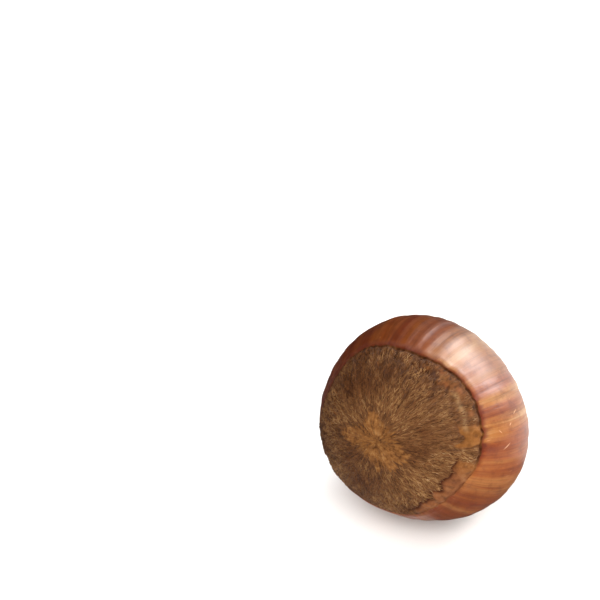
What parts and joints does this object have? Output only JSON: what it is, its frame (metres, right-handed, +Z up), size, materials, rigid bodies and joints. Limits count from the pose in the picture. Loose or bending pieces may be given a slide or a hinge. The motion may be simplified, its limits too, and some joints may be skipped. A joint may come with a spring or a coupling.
{
  "type": "hazelnut",
  "caption": "Round hazelnut in its shell, lying on its side with the wide fibrous base scar turned up, low ribs along the shell and a short pointed tip.",
  "frame": {"origin": "centre of the small flat spot that the nut lies on", "axes": "+Z up; the nut's own axis lies in the Y-Z plane and rises towards -Y by 23.5 degrees, so the base scar faces -Y and up and the tip points to +Y and down; +X is across the nut"},
  "size_m": [0.0206, 0.02, 0.0196],
  "materials": {
    "nutshell": "polished reddish-brown nutshell with a matt fibrous base scar"
  },
  "bodies": {
    "root": {"hazelnut": "nutshell"}
  },
  "joints": []
}
